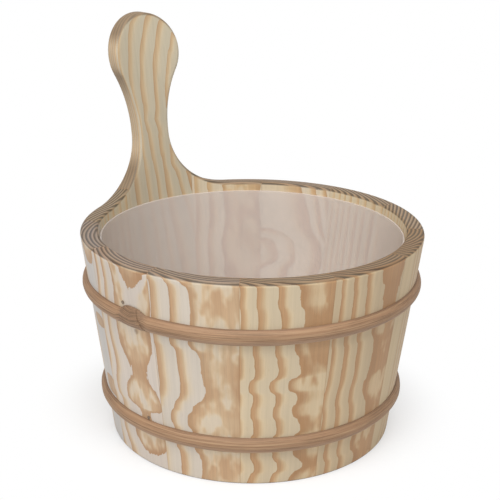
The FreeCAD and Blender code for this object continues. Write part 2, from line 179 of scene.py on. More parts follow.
class PigginCane(bpy.types.PropertyGroup):
    """Sizes and colours of the two split-cane hoops."""

    width: length_property("Width", "Hoop, along the staves", 11.5)
    thickness: length_property("Thickness", "Hoop, out from the staves", 4.15)
    upper_level: length_property("Upper hoop", "Foot to the middle of the upper hoop", 110.9)
    lower_level: length_property("Lower hoop", "Foot to the middle of the lower hoop", 30.8)
    upper_joint: angle_property(
        "Upper joint", "Turn from the handle's middle to the joint of the upper hoop", 101.2
    )
    lower_joint: angle_property(
        "Lower joint", "Turn from the handle's middle to the joint of the lower hoop", 286.0
    )
    knot_length: length_property("Knot length", "Swollen knot beside the joint", 23.0)
    knot_lap: length_property("Knot lap", "How far the knot runs on past the joint", 3.0)
    knot_rise: length_property("Knot rise", "How far the knot stands above the hoop's edge", 3.5)
    slant: length_property("Joint slant", "How far the joint runs along the hoop", 9.0)
    fibre: length_property("Fibre ridge", "Height of the ridges along the cane", 0.16)
    rows: IntProperty(name="Rows", description="Rings of points round a hoop", min=90, default=900)
    brown: colour_property("Brown", "Main colour of the cane", (153, 119, 89))
    dark: colour_property("Dark", "Colour of its grooves and of the knot", (96, 72, 52))
    light: colour_property("Light", "Colour of its pale fibres", (183, 153, 119))
    pink: colour_property("Lower side", "Colour towards the lower edge", (165, 136, 112))


class PigginSteel(bpy.types.PropertyGroup):
    """Finish of the brads."""

    steel: colour_property("Steel", "Colour of the brad heads", (138, 124, 108))
    rust: colour_property("Tarnish", "Colour of the tarnish on them", (102, 82, 64))


class PigginLiner(bpy.types.PropertyGroup):
    """Finish of the milky liner."""

    milk: colour_property("Plastic", "Colour of the milky plastic", (238, 229, 224))
    cover: share_property("Cover", "How much one wall hides of what is behind it", 0.34)


class PigginStage(bpy.types.PropertyGroup):
    """Camera, lights and floor."""

    lens: FloatProperty(
        name="Lens", description="Focal length in millimetres", min=10, default=80.7
    )
    eye: FloatVectorProperty(
        name="Camera place",
        description="Where the camera stands",
        subtype="TRANSLATION",
        unit="LENGTH",
        size=3,
        default=(-0.505023, -0.561806, 0.386472),
    )
    aim: FloatVectorProperty(
        name="Camera turn",
        description="Heading, tilt from straight down, and roll",
        subtype="EULER",
        unit="ROTATION",
        size=3,
        default=(math.radians(-42.2854), math.pi / 2 - 0.3318, 0.0092),
    )
    key_power: power_property("Key light", "Power of the large soft light", 10.3)
    top_power: power_property("Top light", "Power of the soft light from above", 24.4)
    sky: FloatProperty(
        name="Fill", description="Strength of the even light all round", min=0, default=0.35
    )
    floor: colour_property("Floor", "Colour of the floor", (238, 238, 238))


class PigginSettings(bpy.types.PropertyGroup):
    """Everything that can be changed, piece by piece."""

    wood: PointerProperty(type=PigginWood)
    bucket: PointerProperty(type=PigginBucket)
    cane: PointerProperty(type=PigginCane)
    steel: PointerProperty(type=PigginSteel)
    liner: PointerProperty(type=PigginLiner)
    stage: PointerProperty(type=PigginStage)


class Wiring:
    """Adds nodes to one tree. A socket given for an input is joined to it; a plain value is set."""

    def __init__(self, tree):
        self.tree = tree

    def join(self, socket, value):
        if isinstance(value, bpy.types.NodeSocket):
            self.tree.links.new(value, socket)
        elif socket.type == "RGBA" and len(value) == 3:
            socket.default_value = (*value, 1.0)
        else:
            socket.default_value = value

    def node(self, kind, inputs=None, **settings):
        made = self.tree.nodes.new(kind)
        for name, value in settings.items():
            setattr(made, name, value)
        for key, value in (inputs or {}).items():
            self.join(made.inputs[key], value)
        return made

    def reckon(self, operation, *values, clamp=False):
        inputs = dict(enumerate(values))
        return self.node("ShaderNodeMath", inputs, operation=operation, use_clamp=clamp).outputs[0]

    def plus(self, first, second):
        return self.reckon("ADD", first, second)

    def minus(self, first, second):
        return self.reckon("SUBTRACT", first, second)

    def times(self, first, second):
        return self.reckon("MULTIPLY", first, second)

    def times_plus(self, value, by, more):
        return self.reckon("MULTIPLY_ADD", value, by, more)

    def unsigned(self, value):
        return self.reckon("ABSOLUTE", value)

    def length(self, first, second):
        """Length of a line from its two sides at a right angle."""
        return self.reckon("SQRT", self.plus(self.times(first, first), self.times(second, second)))

    def span(self, value, low, high, to_low=0.0, to_high=1.0, kind="SMOOTHSTEP"):
        """Carry a value from one range to another and hold it there at the ends."""
        inputs = {0: value, 1: low, 2: high, 3: to_low, 4: to_high}
        return self.node("ShaderNodeMapRange", inputs, interpolation_type=kind).outputs[0]

    def ramp(self, value, low, high, to_low=0.0, to_high=1.0):
        """The same in a straight line."""
        return self.span(value, low, high, to_low, to_high, "LINEAR")

    def blend(self, share, first, second, kind="MIX"):
        inputs = {0: share, 6: first, 7: second}
        made = self.node("ShaderNodeMix", inputs, data_type="RGBA", blend_type=kind)
        return made.outputs[2]

    def tinted(self, colour, tint):
        return self.blend(1.0, colour, tint, "MULTIPLY")

    def lit(self, colour, level):
        return self.tinted(colour, self.point(level, level, level))

    def apart(self, vector):
        made = self.node("ShaderNodeSeparateXYZ", {0: vector})
        return made.outputs[0], made.outputs[1], made.outputs[2]

    def point(self, x, y, z):
        return self.node("ShaderNodeCombineXYZ", {0: x, 1: y, 2: z}).outputs[0]

    def raw(self, name="Object"):
        return self.node("ShaderNodeTexCoord").outputs[name]

    def millimetres(self, place=(0.0, 0.0, 0.0), turn=0.0):
        """The way from a place in metres, in millimetres along axes that are turned about Z."""
        inputs = {
            "Vector": self.raw(),
            "Location": place,
            "Rotation": (0.0, 0.0, turn),
            "Scale": (MM, MM, MM),
        }
        made = self.node("ShaderNodeMapping", inputs, vector_type="TEXTURE")
        return self.apart(made.outputs[0])

    def grain(self, place, fineness, seed=0.0, detail=2.0, roughness=0.5):
        """Soft noise at a place; each of its three parts has a fineness of its own."""
        parts = (
            part if by == 1.0 else self.times(part, by) for part, by in zip(place, fineness)
        )
        inputs = {
            "Vector": self.point(*parts),
            "W": seed,
            "Scale": 1.0,
            "Detail": detail,
            "Roughness": roughness,
        }
        return self.node("ShaderNodeTexNoise", inputs, noise_dimensions="4D").outputs[0]

    def follow(self, value, low, high, points, smooth=False):
        """A curve drawn through points, from the value's place between low and high."""
        tops = [y for x, y in points]
        base, reach = min(tops), max(max(tops) - min(tops), 1e-6)
        made = self.node("ShaderNodeFloatCurve", {1: self.ramp(value, low, high)})
        line = made.mapping.curves[0]
        places = [((x - low) / (high - low), (y - base) / reach) for x, y in sorted(points)]
        while len(line.points) < len(places):
            line.points.new(0.5, 0.5)
        for point, place in zip(line.points, places):
            point.location = place
            point.handle_type = "AUTO_CLAMPED" if smooth else "VECTOR"
        made.mapping.update()
        return self.times_plus(made.outputs[0], reach, base)

    def by_level(self, up, points):
        """A smooth curve by level, held above its last point."""
        return self.follow(up, 0.0, FIGURE_TOP, points + [(FIGURE_TOP, points[-1][1])], True)


def new_material(name):
    """A material with one main shader, and the wiring for it."""
    material = bpy.data.materials.new(name)
    material.use_nodes = True
    wiring = Wiring(material.node_tree)
    return material, wiring, material.node_tree.nodes["Principled BSDF"]


def give_material(thing, material):
    """Put one material in all the slots of a piece."""
    thing.data.materials.clear()
    thing.data.materials.append(material)


def set_surface(wiring, shader, colour, roughness):
    wiring.join(shader.inputs["Base Color"], colour)
    wiring.join(shader.inputs["Roughness"], roughness)


def set_relief(wiring, shader, height, depth, strength):
    """Let a height give the surface its relief; depth is in metres."""
    inputs = {"Height": height, "Distance": depth, "Strength": strength}
    relief = wiring.node("ShaderNodeBump", inputs)
    wiring.join(shader.inputs["Normal"], relief.outputs[0])


def slope(bucket):
    """How far the staves lean out for each step up."""
    return (bucket.rim_radius - bucket.foot_radius) / bucket.stave_height


def pine_group(wood):
    """The shared look of pine: a place and a ring number go in, colour and relief come out."""
    tree = bpy.data.node_groups.new("Pine", "ShaderNodeTree")
    numbers = ("Ring", "End ring", "Seam", "Boldness", "Seed", "Narrow", "Side", "Inner", "Clouds")
    sockets = [("Place", "INPUT", "Vector")]
    sockets += [(name, "INPUT", "Float") for name in (*numbers, "End lines")]
    sockets += [("Tint", "INPUT", "Color"), ("Colour", "OUTPUT", "Color")]
    sockets += [(name, "OUTPUT", "Float") for name in ("Roughness", "Height")]
    for name, way, kind in sockets:
        tree.interface.new_socket(name=name, in_out=way, socket_type=f"NodeSocket{kind}")
    w = Wiring(tree)
    given = w.node("NodeGroupInput").outputs
    seed, tint = given["Seed"], given["Tint"]
    place = w.apart(given["Place"])
    x, _, z = place

    # Late wood grows slowly through a ring and stops at a sharp edge
    share = w.reckon("FRACT", given["Ring"])
    late = w.follow(w.ramp(share, given["Narrow"], 1.0), 0.0, 1.0, LATE_CURVE)
    line = w.span(share, *RING_EDGE)
    # Each ring has a strength of its own, which also changes slowly from place to place
    number = w.plus(w.reckon("FLOOR", given["Ring"]), seed)
    luck = w.node("ShaderNodeTexWhiteNoise", {"W": number}, noise_dimensions="1D").outputs[0]
    patch = w.span(w.grain(place, PATCH, seed), *NOISE_RANGE, 0.88, 1.1)
    strength = w.times(w.ramp(luck, 0.0, 1.0, 0.82, 1.04), patch)
    strength = w.times(strength, given["Boldness"])
    # Just under the rim the inner faces are paler
    inner = w.times(w.span(x, *INNER_FACE), given["Inner"])
    fade = w.times(inner, w.span(z, *UNDER_RIM, 0.0, 0.42))
    strength = w.times(strength, w.minus(1.0, fade))
    # Where a ring only grazes the face its tan breaks up into pale clouds
    broken = w.grain(place, BROKEN, w.plus(seed, 9.0), 2.0, 0.55)
    broken = w.times(w.span(broken, 0.6, 0.42, 0.0, 0.62), w.span(share, 0.91, 0.99, 1.0, 0.0))
    broken = w.times(broken, given["Clouds"])
    strength = w.times(strength, w.minus(1.0, broken))
    late = w.reckon("MULTIPLY", late, strength, clamp=True)

    fibre = w.grain(place, FIBRE, seed, 4.0, 0.6)
    streak = w.grain(place, STREAK, seed, 3.0)
    duct = w.span(w.grain(place, DUCT, seed, 1.0), 0.71, 0.77)
    cloud = w.ramp(w.grain(place, CLOUD, seed), *NOISE_RANGE, 0.965, 1.035)

    own_tan = w.blend(0.5, wood.tan, w.tinted(wood.tan, tint))
    colour = w.blend(w.ramp(late, 0.02, 0.5, 0.0, 0.75), w.tinted(wood.pale, tint), wood.honey)
    colour = w.blend(w.times(w.ramp(late, 0.3, 0.95), wood.late_share), colour, own_tan)
    colour = w.blend(w.times(w.times(line, late), 0.45), colour, wood.edge)
    drift = w.times(w.ramp(streak, 0.35, 0.65, -1.0, 1.0), w.times_plus(late, 0.015, 0.035))
    fine = w.times(w.ramp(fibre, *NOISE_RANGE, -1.0, 1.0), w.times_plus(late, 0.05, 0.045))
    colour = w.lit(colour, w.plus(w.plus(drift, fine), cloud))
    colour = w.blend(w.times(duct, 0.22), colour, wood.edge)
    # Sawn sides are a little darker and redder than planed faces
    colour = w.blend(given["Side"], colour, w.tinted(colour, SIDE_TINT))

    # The sawn ends are greyer, and their rings stand out
    end = w.span(w.unsigned(w.apart(w.raw("Normal"))[2]), 0.18, 0.6)
    pore = w.grain(place, PORE, seed)
    end_share = w.reckon("FRACT", given["End ring"])
    end_line = w.span(end_share, *END_BAND, 0.0, given["End lines"])
    end_colour = w.blend(end_line, wood.end, w.blend(0.97, wood.edge, END_LINE))
    end_colour = w.lit(end_colour, w.ramp(pore, *NOISE_RANGE, 0.9, 1.08))
    # Each stave's tint reaches its sawn end too, so the rims of stave_05 to stave_07 are darker
    # with painted shade
    colour = w.blend(w.times(end, 0.88), colour, w.tinted(end_colour, tint))

    # The inner faces are yellower than the planed outside
    colour = w.blend(inner, colour, w.tinted(colour, INNER_TINT))
    # Where two staves meet
    groove = w.span(given["Seam"], 0.0, wood.seam_width / MM, 1.0, 0.0)
    colour = w.blend(w.times(groove, 0.5), colour, wood.edge)

    rough = w.times_plus(late, -0.08, w.ramp(fibre, *NOISE_RANGE, 0.56, 0.68))
    rough = w.times_plus(end, 0.14, rough)
    height = w.times_plus(late, 0.35, w.times(fibre, 0.8))
    height = w.times_plus(pore, w.times(end, 1.2), height)
    height = w.times_plus(groove, -2.0, height)
    w.node("NodeGroupOutput", {"Colour": colour, "Roughness": rough, "Height": height})
    return tree


def ring_line(bounds, seed):
    """Ring edges from the given ones on, inwards and outwards, as places with ring numbers."""
    chance = random.Random(seed)
    innermost, outermost = RING_REACH
    points = [(place, float(number)) for place, number in bounds]
    place, number = points[0]
    while place > innermost:
        place, number = place - RING_SPACING * chance.uniform(0.8, 1.2), number - 1
        points.insert(0, (place, number))
    place, number = points[-1]
    while place < outermost:
        place, number = place + RING_SPACING * chance.uniform(0.8, 1.2), number + 1
        points.append((place, number))
    return points


# The figure of each stave, in millimetres. Every one has pale, the colour of its early wood, and
# some have boldness, the strength of their bands. On stave_05, stave_06 and stave_07 pale is also
# darker as painted shade of the bucket's right side, away from the key light.
# A cathedral figure has middle, where its middle runs by level, and spread, the squared half-width
# of its main ring by level, which is less than nought where that ring stays below the face. Its
# steps say how much larger the square of another ring is, and that ring's number from the main
# one. depth is how far inside the face the heart of the tree lies, and inside says that the figure
# was read from the inner face.
# A lean figure has its heart far off to one side by aside, and drift shifts it by level.
# The handle's figure is a set of lines, its ring edges by level. beyond gives the shifts of more
# edges before the first line and after the last, and narrow the part of a ring that stays pale.
# smudge is the place of a small mark, across the stave and up it.
FIGURES = {
    "handle_stave": {
        "lines": [
            [
                (0, -44), (98, -31), (128, -25), (145, -20.3), (160, -17.5), (172, -14.3),
                (224, -15.6), (242, -19.8), (265, -24.9), (283, -30),
            ],
            [
                (0, -24), (113, -12), (140, -8.3), (176, -6.7), (201, -5.5), (220, -4.9), (239, -6),
                (257, -9.9), (274, -15.1), (283, -19),
            ],
            [
                (0, -13), (100, -4), (141, -0.6), (168, 1.6), (188, 3.4), (202, 5.8), (226, 6.4),
                (245, 5.2), (268, -0.1), (278, -3.8), (283, -6),
            ],
            [
                (0, -1), (111, 7), (143, 9.3), (160, 10.3), (173, 11), (202, 12), (213, 14.5),
                (237, 17), (251, 16.3), (264, 14.3), (273, 11.8), (279, 6.7), (283, 4),
            ],
        ],
        "beyond": [(-17, -8.5), (13, 26, 38, 49, 61, 72, 84)],
        "pale": (189, 178, 155),
        "boldness": 0.82,
        "narrow": 0.08,
    },
    "stave_01": {
        "depth": 130,
        "aside": 38,
        "drift": [(0, 2), (120, 0), (190, -3)],
        "pale": (198, 190, 170),
    },
    "stave_02": {
        "depth": 66,
        "middle": [(0, 20), (148, 23)],
        "spread": [
            (0, -100), (30, -150), (39, 0), (45, 60), (51, 0), (60, -150), (80, -150), (89, 0),
            (93.5, 70), (98, 0), (105, -150), (125, -150), (132, 0), (140, 150), (148, 220),
        ],
        "steps": [(-2600, -1), (0, 0), (760, 1), (1700, 2)],
        "pale": (193, 187, 181),
    },
    "stave_03": {
        "depth": 67,
        "middle": [(0, 11), (15, 11), (75, 9.5), (140, 17.5), (148, 18)],
        "spread": [
            (0, -120), (5, -60), (9, 0), (12, 60), (17, 150), (22, 196), (32, 90), (38, -20),
            (42, 0), (44, 100), (46, 215), (50, 265), (55, 237), (60, 175), (64, 106), (68, 58),
            (72, 49), (75, 60), (78, 87), (82, 152), (88, 240), (95, 296), (104, 317), (120, 350),
            (129, 368), (132, 395), (140, 490), (147, 560),
        ],
        "steps": [(-3600, -2), (-384, -1), (-312, -0.62), (-268, -0.18), (0, 0), (600, 1)],
        "pale": (202, 190, 178),
        "smudge": (13.6, 102.4),
    },
    "stave_04": {
        "depth": 67,
        "middle": [(0, 18), (148, 18)],
        "spread": [
            (0, 339), (10, 310), (18, 335), (23, 467), (37, 520), (40, 610), (45, 676), (52, 502),
            (57, 424), (64, 185), (70, 130), (75, 150), (80, 172), (90, 204), (98, 269), (104, 480),
            (118, 388), (125, 361), (135, 361), (143, 433), (147, 625),
        ],
        "steps": [(-2500, -1), (0, 0), (720, 1), (1850, 2)],
        "pale": (199, 188, 174),
    },
    "stave_05": {
        "depth": 67,
        "middle": [(0, 26), (148, 26)],
        "spread": [
            (0, 400), (4, 324), (8, 225), (12, 69), (22, 291), (36, 303), (40, 182), (45, 195),
            (50, 257), (55, 376), (58, 372), (65, 262), (70, 367), (75, 552), (80, 416), (85, 225),
            (90, 264), (95, 295), (104, 420), (120, 202), (130, 270), (135, 339), (140, 328),
            (147, 353),
        ],
        "steps": [(-3600, -1), (0, 0), (670, 1), (1720, 2), (2700, 3)],
        # The wood's own colour, darkened further with painted shade of the bucket's right side
        "pale": (197, 180, 152),
        "boldness": 1.2,
    },
    "stave_06": {
        "depth": 66,
        "middle": [(0, 21.5), (148, 21.5)],
        "spread": [
            (0, 290), (5, 280), (12, 400), (20, 480), (38, 116), (45, 133), (52, 220), (60, 290),
            (68, 220), (78, 180), (88, 180), (97, 215), (103, 318), (118, 100), (125, 121),
            (135, 155), (144, 230), (147, 200),
        ],
        "steps": [(-2600, -1), (0, 0), (620, 1), (1340, 2), (2110, 3)],
        # The wood's own colour, darkened further with painted shade of the bucket's right side
        "pale": (188, 167, 136),
        "boldness": 1.2,
    },
    "stave_07": {
        "depth": 52,
        "middle": [(0, 33), (60, 36), (148, 35)],
        "spread": [(0, 120), (40, 60), (80, 160), (120, 80), (148, 140)],
        "steps": [(-1600, -1), (0, 0), (420, 1), (980, 2), (1600, 3)],
        # The wood's own colour, darkened further with painted shade of the bucket's right side
        "pale": (189, 167, 133),
    },
    "stave_08": {
        "depth": 260,
        "aside": 112,
        "drift": [(0, 3), (80, 0), (148, -2)],
        "pale": (206, 194, 172),
    },
    "stave_09": {
        "depth": 300,
        "aside": 108,
        "drift": [(0, -3), (70, 1), (148, 0)],
        "pale": (208, 197, 176),
    },
    "stave_10": {
        "depth": 65,
        "inside": True,
        "middle": [(0, 28), (148, 30)],
        "spread": [
            (0, 800), (20, 1000), (40, 900), (60, 900), (70, 620), (79, 680), (86, 900), (91, 961),
            (97, 900), (102, 841), (106, 600), (109, 400), (113, 50), (118, -100), (124, -200),
            (131, -350), (139, -560), (148, -800),
        ],
        "steps": [(-960, -1.75), (-672, -1), (0, 0), (1950, 1)],
        "pale": (212, 202, 186),
        "boldness": 1.3,
    },
    "stave_11": {
        "depth": 64,
        "inside": True,
        "middle": [(0, -16), (148, -14)],
        "spread": [(0, 440), (40, 520), (80, 300), (100, 360), (125, 240), (148, 330), (180, 420)],
        "steps": [(-1700, -1), (0, 0), (560, 1), (1300, 2)],
        "pale": (208, 198, 180),
        "boldness": 1.2,
    },
}


def between(points, level):
    """The value at a level on a line through points, held beyond the last one."""
    for (low, first), (high, last) in zip(points, points[1:]):
        if low <= level <= high:
            return first + (last - first) * (level - low) / (high - low)
    return points[-1][1]


def handle_rings(w, figure, far, place, wall, seed):
    """Ring numbers from lines drawn on the inner face, which lie at a flat slant in the wood."""
    out, across, up = place
    deep = w.plus(w.minus(w.length(far, across), w.minus(far, out)), wall)
    bend = w.ramp(w.grain(place, HANDLE_BEND, seed), 0.2, 0.8, -1.1, 1.1)
    slant = w.plus(w.times_plus(deep, HANDLE_SLANT, across), bend)
    drawn = [w.by_level(up, line) for line in figure["lines"]]
    before, after = figure["beyond"]
    edges = [w.plus(drawn[0], float(shift)) for shift in before]
    edges += drawn + [w.plus(drawn[-1], float(shift)) for shift in after]
    ring = HANDLE_FIRST_RING
    for low, high in zip(edges, edges[1:]):
        ring = w.plus(ring, w.ramp(slant, low, high))
    end_ring = w.times(slant, HANDLE_END_RINGS)
    return {"Ring": ring, "End ring": end_ring, "Narrow": figure["narrow"]}


def cathedral_lines(w, figure, up, wall):
    """The line of the heart, the rise of its rings, and the edges of the rings that are given."""
    depth = figure["depth"]
    radius = FIGURE_RADIUS - (wall if figure.get("inside") else 0)
    bend = (1 / depth - 1 / radius) / 2
    heart = [(level, middle * (1 - depth / radius)) for level, middle in figure["middle"]]
    rise = [
        (level, -bend * square + bend * between(figure["middle"], level) ** 2 * depth / radius)
        for level, square in figure["spread"]
    ]
    bounds = [(bend * step, number) for step, number in figure["steps"]]
    return w.by_level(up, heart), w.by_level(up, rise), bounds


def tree_rings(w, figure, place, wall, number, seed):
    """Ring numbers from the distance to the heart of the tree, which is a line by level."""
    out, across, up = place
    cathedral = "middle" in figure
    if cathedral:
        heart, rise, bounds = cathedral_lines(w, figure, up, wall)
        low, high = CATHEDRAL_REACH
    else:
        heart = w.by_level(up, [(level, figure["aside"] + by) for level, by in figure["drift"]])
        rise, bounds = 0.0, [(0, 0)]
        low, high = RING_REACH
    wave = w.ramp(w.grain(place, RING_WAVE, seed, 1.0), 0.2, 0.8, -0.1, 0.1)
    rag = w.ramp(w.grain(place, RING_RAG, seed + 5, 3.0, 0.6), 0.2, 0.8, -0.11, 0.11)
    # A figure read from the inner face has its heart that much farther in
    run = w.plus(out, figure["depth"] + (wall if figure.get("inside") else 0.0))
    reach = w.minus(w.length(run, w.minus(across, heart)), float(figure["depth"]))
    ring_place = w.plus(w.plus(reach, rise), w.plus(wave, rag))
    points = [point for point in ring_line(bounds, number) if low < point[0] < high]
    points.insert(0, (low, points[0][1] - 0.5))
    points.append((high, points[-1][1] + 0.5))
    ring = w.follow(ring_place, low, high, points)
    end_ring = w.reckon("DIVIDE", w.minus(ring_place, rise), END_SPACING)
    rings = {"Ring": ring, "End ring": end_ring, "Inner": 1.0}
    if cathedral:
        # The rings outside the main one are cut steeply, so their tan is only a line
        rings["Clouds"] = w.span(ring, -0.01, 0.0, 1.0, 0.0)
        rings["Narrow"] = w.span(ring, -0.01, 0.0, 0.0, 0.04)
    return rings


def marked(w, colour, spot, across, up, seed):
    """A colour with a small grey-brown mark at a place across the stave and up it."""
    reach = w.length(w.minus(across, spot[0]), w.minus(up, spot[1]))
    speck = w.grain((across, up, seed), MARK_SPECK, seed)
    mark = w.span(w.times_plus(speck, 2.4, reach), 3.9, 1.8, 0.0, 0.6)
    return w.blend(mark, colour, MARK_COLOUR)


def lay_pine(w, shader, group, settings, inputs):
    """Give a piece the shared look of pine, and return the pine's colour."""
    pine = w.node("ShaderNodeGroup", inputs, node_tree=group).outputs
    set_surface(w, shader, pine["Colour"], pine["Roughness"])
    set_relief(w, shader, pine["Height"], 0.2 * MM, settings.wood.fibre_depth)
    return pine["Colour"]


def stave_material(name, number, settings, group):
    """Pine for one stave, with that stave's own figure."""
    figure, bucket = FIGURES[name], settings.bucket
    passed = sum(STAVE_ANGLES[:number]) + STAVE_ANGLES[number] / 2 - STAVE_ANGLES[0] / 2
    half = math.radians(STAVE_ANGLES[number] / 2)
    # Far enough from the next stave's for other noise
    seed = 3.1 + 7.7 * number
    wall = bucket.wall / MM
    material, w, shader = new_material(f"pine_{name}")
    # Out from the bucket's axis, across the stave, and up
    far, across, up = w.millimetres((*BUCKET_AXIS, 0.0), math.radians(90 + passed))
    face = w.times_plus(up, slope(bucket), bucket.foot_radius / MM)
    place = (w.minus(far, face), across, up)
    inputs = {
        "Place": w.point(*place),
        "Seam": w.minus(w.times(far, math.sin(half)), w.times(w.unsigned(across), math.cos(half))),
        "Boldness": figure.get("boldness", 1.0),
        "Seed": seed,
        # The stave's pale over the usual one; for stave_05 to stave_07 this tint also holds painted
        # shade
        "Tint": tuple(own / usual for own, usual in zip(srgb(*figure["pale"]), settings.wood.pale)),
    }
    if "lines" in figure:
        inputs.update(handle_rings(w, figure, far, place, wall, seed))
        inputs["End lines"] = 0.4
        inputs["Side"] = w.span(w.unsigned(w.apart(w.raw("Normal"))[0]), 0.55, 0.85)
    else:
        inputs.update(tree_rings(w, figure, place, wall, number, seed))
        inputs["End lines"] = 1.0
    colour = lay_pine(w, shader, group, settings, inputs)
    if "smudge" in figure:
        colour = marked(w, colour, figure["smudge"], across, up, seed)
        w.join(shader.inputs["Base Color"], colour)
    return material


def board_material(name, seed, settings, group, depth, aside):
    """Pine for a flat board of the head, its grain running along Y."""
    material, w, shader = new_material(f"pine_{name}")
    x, y, z = w.millimetres()
    wave = w.grain((x, y, z), HEAD_WAVE, seed)
    reach = w.minus(w.length(w.plus(z, float(depth)), w.minus(x, aside)), float(depth))
    ring_place = w.plus(reach, w.ramp(wave, 0.2, 0.8, -1.2, 1.2))
    ring = w.reckon("DIVIDE", ring_place, HEAD_SPACING)
    inputs = {
        "Place": w.point(z, x, y),
        "Ring": ring,
        "End ring": ring,
        "Seam": NO_SEAM,
        "End lines": 1.0,
        "Boldness": 0.9,
        "Seed": seed,
        # The pine takes what faces up for a sawn end, so the tint gives a board its colour back
        "Tint": HEAD_TINT,
    }
    lay_pine(w, shader, group, settings, inputs)
    return material


def cane_material(name, level, joint, settings):
    """Split cane: long fibres, pale fibres that are brightest along the crown as a painted
    highlight, a darker knot with slanting fibres, and painted shade along both edges where the cane
    meets the staves.
    """
    cane, bucket = settings.cane, settings.bucket
    material, w, shader = new_material(f"cane_{name}")
    # Turned so that the jump in the angle falls in the hoop's own joint
    turn = math.radians(90) + joint - math.pi
    x, y, z = w.millimetres((*BUCKET_AXIS, level), turn)
    radius = (bucket.foot_radius + slope(bucket) * level) / MM
    along = w.times(w.reckon("ARCTAN2", y, x), radius)
    across = w.reckon("DIVIDE", z, cane.width / MM / 2)

    # The knot's middle is reached from both sides of the jump
    spot = math.pi * radius - (cane.knot_length / 2 - cane.knot_lap) / MM
    lapped = w.unsigned(w.minus(along, spot - math.tau * radius))
    from_knot = w.reckon("MINIMUM", w.unsigned(w.minus(along, spot)), lapped)
    knot = w.span(from_knot, 8.0, 15.0, 1.0, 0.0)
    # Fibres slant round the knot
    slanted = w.times_plus(w.times(from_knot, -0.16), knot, z)
    fineness = (0.022, w.times_plus(knot, 0.5, 1.6), 1.0)
    fibre = w.grain((along, slanted, 0.0), fineness, 2.0, 4.0, 0.75)
    strand = w.grain((along, z, 0.0), STRAND, 8.0, 3.0)
    blotch = w.grain((along, z, 0.0), BLOTCH, 4.0)

    # The pale fibres are brightest along the crown: part real pale fibre, part painted highlight
    # where light falls on the round top
    crown = w.span(w.unsigned(w.minus(across, 0.12)), 0.05, 0.4, 1.0, 0.0)
    lower = w.span(across, -0.75, -0.05, 1.0, 0.0)
    pale = w.times(w.span(strand, 0.47, 0.66), w.times_plus(crown, 0.45, 0.25))
    dark = w.span(w.times_plus(knot, -0.05, fibre), 0.52, 0.4)
    # Painted shade along both edges of the cane, where it meets the staves
    edge = w.span(w.unsigned(across), 0.8, 1.0)
    colour = w.blend(w.times(lower, 0.8), cane.brown, cane.pink)
    colour = w.blend(pale, colour, cane.light)
    colour = w.blend(w.times(dark, w.times_plus(knot, 0.3, 0.6)), colour, cane.dark)
    colour = w.blend(w.times(knot, 0.1), colour, cane.dark)
    # The painted edge shade, weaker over the knot
    colour = w.blend(w.times(edge, w.times_plus(knot, -0.45, 0.55)), colour, cane.dark)
    colour = w.lit(colour, w.ramp(blotch, *NOISE_RANGE, 0.93, 1.06))
    set_surface(w, shader, colour, w.ramp(fibre, *NOISE_RANGE, 0.74, 0.58))
    set_relief(w, shader, w.times_plus(strand, 0.8, fibre), 0.4 * MM, 0.5)
    return material


def steel_material(settings):
    """Tarnished steel for the brads."""
    material, w, shader = new_material("brad_steel")
    spots = w.grain(w.apart(w.raw()), TARNISH, 1.0, 3.0)
    colour = w.blend(w.span(spots, 0.42, 0.62), settings.steel.steel, settings.steel.rust)
    set_surface(w, shader, colour, w.ramp(spots, *NOISE_RANGE, 0.38, 0.6))
    shader.inputs["Metallic"].default_value = 0.25
    set_relief(w, shader, spots, 0.08 * MM, 0.5)
    return material


def milk_material(settings):
    """Milky plastic: thin enough to let the wood show through, faintly uneven."""
    material, w, shader = new_material("liner_milk")
    place = w.apart(w.raw())
    cloud = w.grain(place, MILK_CLOUD, 2.0, 3.0)
    skin = w.grain(place, MILK_SKIN, 5.0)
    colour = w.lit(settings.liner.milk, w.ramp(cloud, *NOISE_RANGE, 0.96, 1.04))
    set_surface(w, shader, colour, w.ramp(skin, *NOISE_RANGE, 0.36, 0.5))
    shader.inputs["Alpha"].default_value = settings.liner.cover
    shader.inputs["IOR"].default_value = 1.5
    set_relief(w, shader, w.times_plus(cloud, 1.6, skin), 0.12 * MM, 0.3)
    return material


